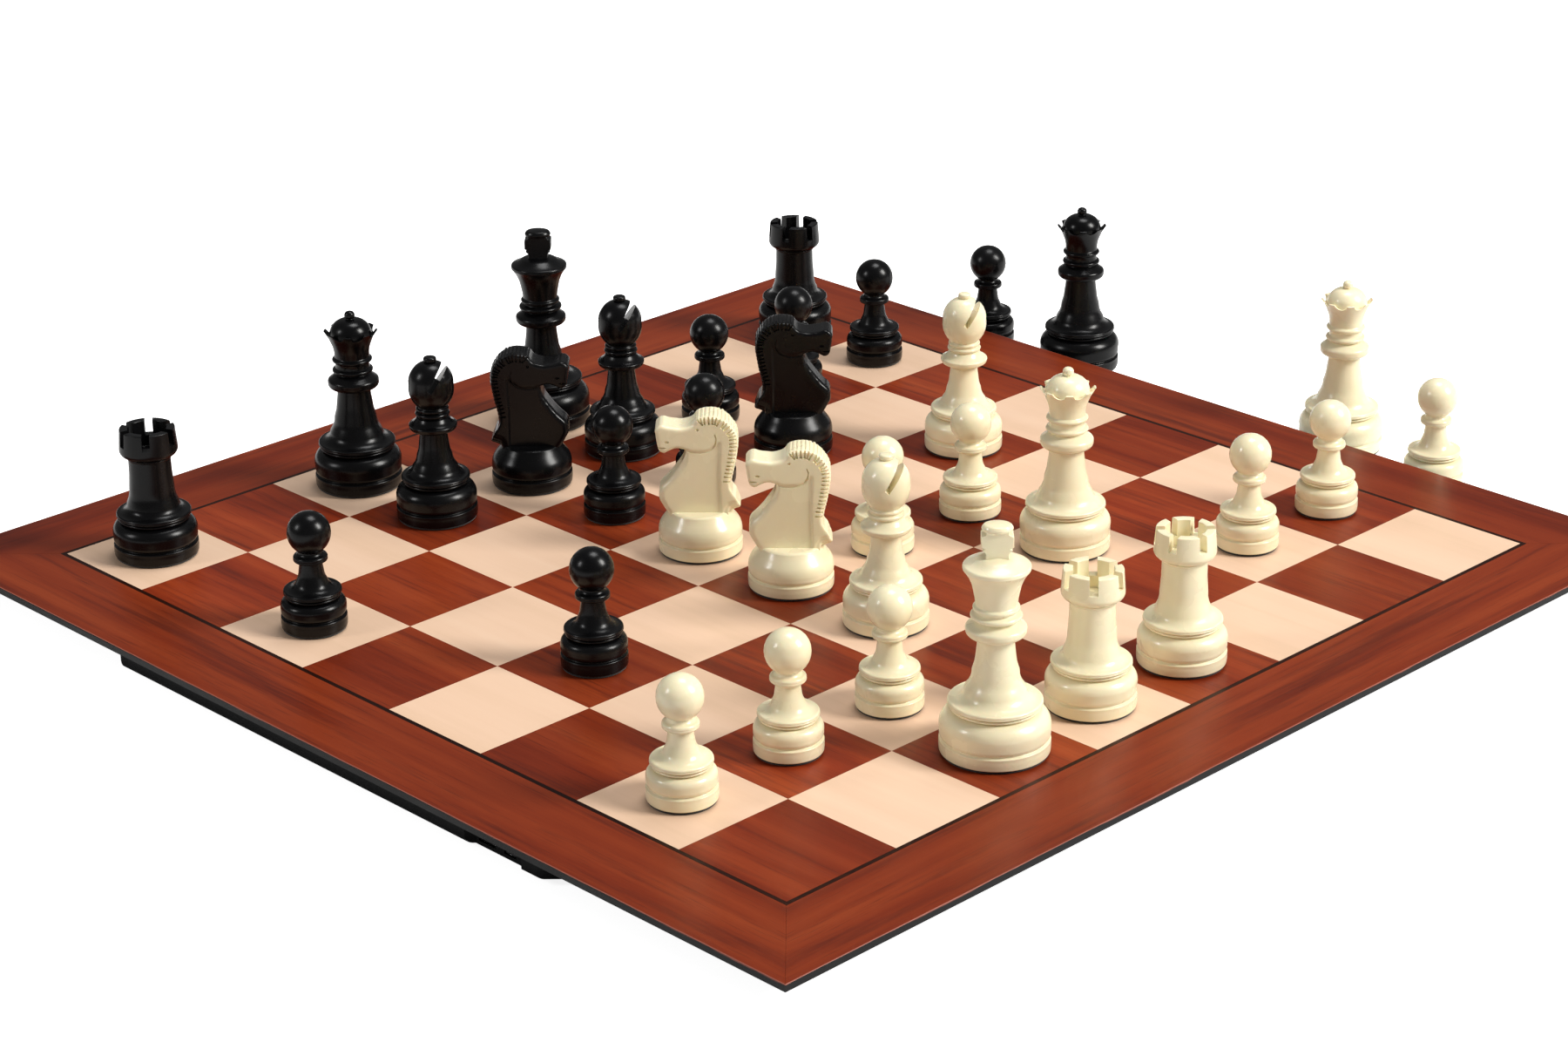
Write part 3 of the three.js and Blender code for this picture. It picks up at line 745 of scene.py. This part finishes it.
def handling_group():
    """Traces of handling: soft smudges, fine hair scratches and specks of dust."""
    group, entry, result = new_group(
        "handling_marks", {"Vector": "NodeSocketVector", "Scale": "NodeSocketFloat"},
        {"Smudge": "NodeSocketFloat", "Scratch": "NodeSocketFloat", "Speck": "NodeSocketFloat"})
    smudge = place_node(group, "ShaderNodeTexNoise", Vector=entry.outputs["Vector"],
                        Scale=entry.outputs["Scale"], Detail=4, Roughness=0.6)
    turned_way = place_node(group, "ShaderNodeMapping", Vector=entry.outputs["Vector"],
                            Rotation=(0.3, 0.2, 0.7), Scale=(1, 0.03, 1)).outputs[0]
    hair_scale = maths(group, "MULTIPLY", entry.outputs["Scale"], 60)
    hair = place_node(group, "ShaderNodeTexNoise", Vector=turned_way, Scale=hair_scale, Detail=2)
    dust_scale = maths(group, "MULTIPLY", entry.outputs["Scale"], 45)
    dust = place_node(group, "ShaderNodeTexNoise", Vector=entry.outputs["Vector"], Scale=dust_scale,
                      Detail=1)
    group.links.new(level(group, smudge.outputs["Fac"], 0.35, 0.65), result.inputs["Smudge"])
    group.links.new(level(group, hair.outputs["Fac"], 0.66, 0.74), result.inputs["Scratch"])
    group.links.new(level(group, dust.outputs["Fac"], 0.70, 0.76), result.inputs["Speck"])
    return group


def new_material(name, **shader_values):
    """A material, its tree, its shader and its Object coordinates."""
    material = bpy.data.materials.new(name)
    material.use_nodes = True
    tree = material.node_tree
    shader = tree.nodes["Principled BSDF"]
    for key, value in shader_values.items():
        shader.inputs[key.replace("_", " ")].default_value = value
    coordinates = tree.nodes.new("ShaderNodeTexCoord").outputs["Object"]
    return material, tree, shader, coordinates


def use_group(tree, group, **inputs):
    return place_node(tree, "ShaderNodeGroup", {"node_tree": group}, **inputs).outputs


def connect(tree, shader, colour, roughness, height, bump):
    """Feeds the shader. bump is (strength, distance in metres)."""
    tree.links.new(colour, shader.inputs["Base Color"])
    if roughness is not None:
        tree.links.new(roughness, shader.inputs["Roughness"])
    bumps = place_node(tree, "ShaderNodeBump", Strength=bump[0], Distance=bump[1], Height=height)
    tree.links.new(bumps.outputs["Normal"], shader.inputs["Normal"])


ROSEWOOD_STOPS = (
    (0.28, (0.105, 0.011, 0.003)), (0.45, (0.190, 0.023, 0.006)),
    (0.58, (0.250, 0.036, 0.009)), (0.75, (0.33, 0.058, 0.015)))
MAPLE_STOPS = ((0.30, (0.71, 0.49, 0.335)), (0.52, (0.765, 0.53, 0.375)), (0.75, (0.795, 0.57, 0.41)))


def rosewood_colour(tree, grain):
    colour = ramp(tree, grain["Figure"], *ROSEWOOD_STOPS)
    streaks = maths(tree, "MULTIPLY", grain["Streak"], 0.66)
    colour = blend_colours(tree, streaks, colour, (0.07, 0.010, 0.006, 1))
    pores = maths(tree, "MULTIPLY", grain["Pore"], 0.45)
    return blend_colours(tree, pores, colour, (0.045, 0.008, 0.005, 1))


def field_material(grain_nodes, marks):
    """Maple and rosewood squares, each cut from its own place in the veneer, under one satin lacquer."""
    material, tree, shader, coordinates = new_material("chequered_marquetry", Specular_IOR_Level=0.18)
    low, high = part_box("field_veneer")
    square = (high.x - low.x) / 8
    counted = place_node(tree, "ShaderNodeVectorMath", {"operation": "DIVIDE"}, i0=coordinates,
                         i1=(square, square, 1)).outputs[0]
    index = place_node(tree, "ShaderNodeVectorMath", {"operation": "FLOOR"}, i0=counted).outputs[0]
    chance = place_node(tree, "ShaderNodeTexWhiteNoise", Vector=index)
    checker = place_node(tree, "ShaderNodeTexChecker", Vector=counted, Scale=1.0, Color1=(0, 0, 0, 1),
                         Color2=(1, 1, 1, 1))
    shifted = place_node(tree, "ShaderNodeVectorMath", {"operation": "MULTIPLY_ADD"},
                         i0=chance.outputs["Color"], i1=(3, 3, 3), i2=coordinates).outputs[0]
    grain = use_group(tree, grain_nodes, Vector=shifted, Width=42.0)
    dark = rosewood_colour(tree, grain)
    tone = level(tree, chance.outputs["Value"], 0, 1, 0.82, 1.15)
    dark = place_node(tree, "ShaderNodeVectorMath", {"operation": "SCALE"}, i0=dark, Scale=tone).outputs[0]
    light_grain = maths(tree, "MULTIPLY", grain["Streak"], -0.08)
    light = ramp(tree, maths(tree, "ADD", grain["Figure"], light_grain), *MAPLE_STOPS)
    light_tone = level(tree, chance.outputs["Value"], 0, 1, 1.03, 0.95)
    light = place_node(tree, "ShaderNodeVectorMath", {"operation": "SCALE"}, i0=light,
                       Scale=light_tone).outputs[0]
    is_light = checker.outputs["Fac"]
    colour = blend_colours(tree, is_light, dark, light)
    mark = use_group(tree, marks, Vector=coordinates, Scale=14.0)
    roughness = level(tree, mark["Smudge"], 0, 1, 0.30, 0.40)
    height = maths(tree, "MULTIPLY", grain["Pore"], -1)
    connect(tree, shader, colour, roughness, height, (0.12, 0.0001))
    return material


def border_material(grain_nodes, marks):
    """Mitred rosewood strips with the grain along each one, black edges, and a paler band along the arris
    that is partly wear and partly a painted highlight.
    """
    material, tree, shader, coordinates = new_material("rosewood_border", Specular_IOR_Level=0.18)
    split = place_node(tree, "ShaderNodeSeparateXYZ", Vector=coordinates)
    across, along = split.outputs["X"], split.outputs["Y"]
    far_x, far_y = maths(tree, "ABSOLUTE", across), maths(tree, "ABSOLUTE", along)
    runs_along_x = maths(tree, "GREATER_THAN", far_y, far_x)
    quarter = place_node(tree, "ShaderNodeCombineXYZ", X=along, Y=across, Z=split.outputs["Z"]).outputs[0]
    turned_to = place_node(tree, "ShaderNodeMix", {"data_type": "VECTOR"}, i0=runs_along_x, i4=coordinates,
                           i5=quarter).outputs[1]
    grain = use_group(tree, grain_nodes, Vector=turned_to, Width=36.0)
    wood = place_node(tree, "ShaderNodeVectorMath", {"operation": "SCALE"}, i0=rosewood_colour(tree, grain),
                      Scale=0.84).outputs[0]
    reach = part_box("border_veneer_front")[1].x
    farthest = maths(tree, "MAXIMUM", far_x, far_y)
    mark = use_group(tree, marks, Vector=coordinates, Scale=16.0)
    ragged = maths(tree, "MULTIPLY", mark["Smudge"], 0.00022)
    edge_place = maths(tree, "ADD", farthest, ragged)
    # A paler pinkish band just inside the outer edge of the top: partly wear, partly a painted highlight
    # along the arris.
    wear_and_painted_highlight = level(tree, edge_place, reach - 0.00042, reach - 0.00024)
    black = level(tree, edge_place, reach, reach + 0.00012)
    colour = blend_colours(tree, maths(tree, "MULTIPLY", wear_and_painted_highlight, 0.6), wood, (0.42, 0.16, 0.12, 1))
    colour = blend_colours(tree, black, colour, (0.011, 0.010, 0.010, 1))
    roughness = level(tree, mark["Smudge"], 0, 1, 0.28, 0.38)
    height = maths(tree, "MULTIPLY", grain["Pore"], -1)
    connect(tree, shader, colour, roughness, height, (0.12, 0.0001))
    return material


def inlay_material(grain_nodes):
    material, tree, shader, coordinates = new_material("dyed_inlay", Specular_IOR_Level=0.12)
    grain = use_group(tree, grain_nodes, Vector=coordinates, Width=60.0)
    colour = ramp(tree, grain["Figure"], (0.3, (0.010, 0.003, 0.002)), (0.7, (0.032, 0.008, 0.004)))
    roughness = level(tree, grain["Streak"], 0, 1, 0.3, 0.42)
    connect(tree, shader, colour, roughness, grain["Pore"], (0.1, 0.0001))
    return material


def lacquer_material(marks):
    material, tree, shader, coordinates = new_material("black_edge_lacquer", Specular_IOR_Level=0.2)
    mark = use_group(tree, marks, Vector=coordinates, Scale=22.0)
    colour = blend_colours(tree, mark["Smudge"], (0.002, 0.002, 0.002, 1), (0.007, 0.006, 0.006, 1))
    roughness = level(tree, mark["Smudge"], 0, 1, 0.32, 0.5)
    connect(tree, shader, colour, roughness, mark["Scratch"], (0.1, 0.00005))
    return material


def plastic_material(name, marks, dark, pale, rough, grain_size=900.0, bump=(0.25, 0.00006), **values):
    """A moulded plastic: two near tones, a fine spark-eroded texture, and handling marks in the gloss."""
    material, tree, shader, coordinates = new_material(name, **values)
    mark = use_group(tree, marks, Vector=coordinates, Scale=26.0)
    colour = blend_colours(tree, mark["Smudge"], (*dark, 1), (*pale, 1))
    grain = place_node(tree, "ShaderNodeTexNoise", Vector=coordinates, Scale=grain_size,
                       Detail=2).outputs["Fac"]
    low, high = rough
    roughness = maths(tree, "ADD", level(tree, mark["Smudge"], 0, 1, low, high),
                      maths(tree, "MULTIPLY", mark["Scratch"], 0.06))
    connect(tree, shader, colour, roughness, grain, bump)
    return material


def felt_material():
    material, tree, shader, coordinates = new_material("black_felt", Roughness=0.95, Sheen_Weight=0.25)
    fibre = place_node(tree, "ShaderNodeTexNoise", Vector=coordinates, Scale=1400, Detail=6, Roughness=0.8,
                       Distortion=1.5).outputs["Fac"]
    colour = ramp(tree, fibre, (0.35, (0.006, 0.007, 0.007)), (0.7, (0.028, 0.030, 0.030)))
    connect(tree, shader, colour, None, fibre, (0.8, 0.0003))
    return material


def steel_material(name, marks, tint):
    material, tree, shader, coordinates = new_material(name, Metallic=1.0)
    mark = use_group(tree, marks, Vector=coordinates, Scale=60.0)
    pale = tuple(min(1, part * 1.25) for part in tint)
    colour = blend_colours(tree, mark["Smudge"], (*tint, 1), (*pale, 1))
    roughness = maths(tree, "ADD", level(tree, mark["Smudge"], 0, 1, 0.22, 0.36),
                      maths(tree, "MULTIPLY", mark["Scratch"], 0.15))
    connect(tree, shader, colour, roughness, mark["Scratch"], (0.15, 0.00004))
    return material


def circuit_material(marks):
    """Green solder mask over fine copper tracks and rows of plated holes."""
    material, tree, shader, coordinates = new_material("circuit_laminate", Coat_Weight=0.25)
    track = place_node(tree, "ShaderNodeTexBrick", {"offset": 0.5}, Vector=coordinates, Scale=60,
                       Color1=(0, 0, 0, 1), Color2=(0, 0, 0, 1), Mortar=(1, 1, 1, 1), Mortar_Size=0.02)
    dots = place_node(tree, "ShaderNodeTexVoronoi", {"feature": "F1"}, Vector=coordinates, Scale=220,
                      Randomness=0.0)
    hole = level(tree, dots.outputs["Distance"], 0.22, 0.16)
    mark = use_group(tree, marks, Vector=coordinates, Scale=30.0)
    mask = blend_colours(tree, mark["Smudge"], (0.010, 0.085, 0.035, 1), (0.016, 0.12, 0.05, 1))
    colour = blend_colours(tree, track.outputs["Fac"], mask, (0.03, 0.20, 0.08, 1))
    colour = blend_colours(tree, maths(tree, "MULTIPLY", hole, 0.5), colour, (0.55, 0.42, 0.18, 1))
    connect(tree, shader, colour, level(tree, mark["Smudge"], 0, 1, 0.3, 0.45), track.outputs["Fac"],
            (0.3, 0.00005))
    return material


def ribbon_material():
    material, tree, shader, coordinates = new_material("ribbon_vinyl")
    waves = place_node(tree, "ShaderNodeTexWave", {"wave_type": "BANDS", "bands_direction": "Y"},
                       Vector=coordinates, Scale=250, Distortion=0.0)
    colour = ramp(tree, waves.outputs["Fac"], (0.2, (0.20, 0.20, 0.19)), (0.7, (0.42, 0.42, 0.40)))
    connect(tree, shader, colour, level(tree, waves.outputs["Fac"], 0, 1, 0.6, 0.4), waves.outputs["Fac"],
            (0.5, 0.0003))
    return material


def dress_nodes(finishes):
    """Gives each CAD node that stays its finish."""
    for node, finish in finishes.items():
        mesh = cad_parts[node].data
        mesh.materials.clear()
        mesh.materials.append(finish)


def build():
    add_camera()
    add_stage()
    grain_nodes = grain_group()
    marks = handling_group()
    ivory = plastic_material(
        "ivory_plastic", marks, (0.86, 0.77, 0.52), (0.90, 0.82, 0.57), (0.22, 0.31), 700.0,
        (0.05, 0.00005), Subsurface_Weight=0.12, Subsurface_Scale=0.002, Coat_Weight=0.15)
    ebony = plastic_material(
        "ebony_plastic", marks, (0.0015, 0.0015, 0.0018), (0.0032, 0.0032, 0.0036), (0.23, 0.30), 700.0,
        (0.06, 0.00005), Specular_IOR_Level=0.22)
    tray_black = plastic_material(
        "tray_plastic", marks, (0.0015, 0.0015, 0.0017), (0.004, 0.004, 0.0043), (0.42, 0.55),
        Specular_IOR_Level=0.1)
    chip_black = plastic_material(
        "chip_resin", marks, (0.012, 0.012, 0.013), (0.03, 0.03, 0.032), (0.55, 0.7))
    socket_black = plastic_material(
        "socket_plastic", marks, (0.009, 0.009, 0.01), (0.02, 0.02, 0.021), (0.35, 0.5))
    rubber = plastic_material(
        "foot_rubber", marks, (0.012, 0.012, 0.012), (0.03, 0.029, 0.028), (0.75, 0.9), 500.0,
        (0.5, 0.0002))
    circuit = circuit_material(marks)
    lacquer = lacquer_material(marks)
    steel = steel_material("zinc_steel", marks, (0.42, 0.42, 0.43))
    add_men({"white": ivory, "black": ebony, "felt": felt_material()})
    add_border_strips(border_material(grain_nodes, marks))
    add_tray(tray_black)
    add_feet(rubber)
    add_screws(steel)
    add_sockets(steel_material("socket_shell_steel", marks, (0.55, 0.55, 0.56)), socket_black)
    dress_nodes({
        "core_panel": lacquer,
        "backing_sheet": lacquer,
        "field_veneer": field_material(grain_nodes, marks),
        "inlay_line": inlay_material(grain_nodes),
        "coil_board": circuit,
        "main_board": circuit,
        "processor_chip": chip_black,
        "ribbon_cable": ribbon_material(),
    })
    deselect_all()


build()
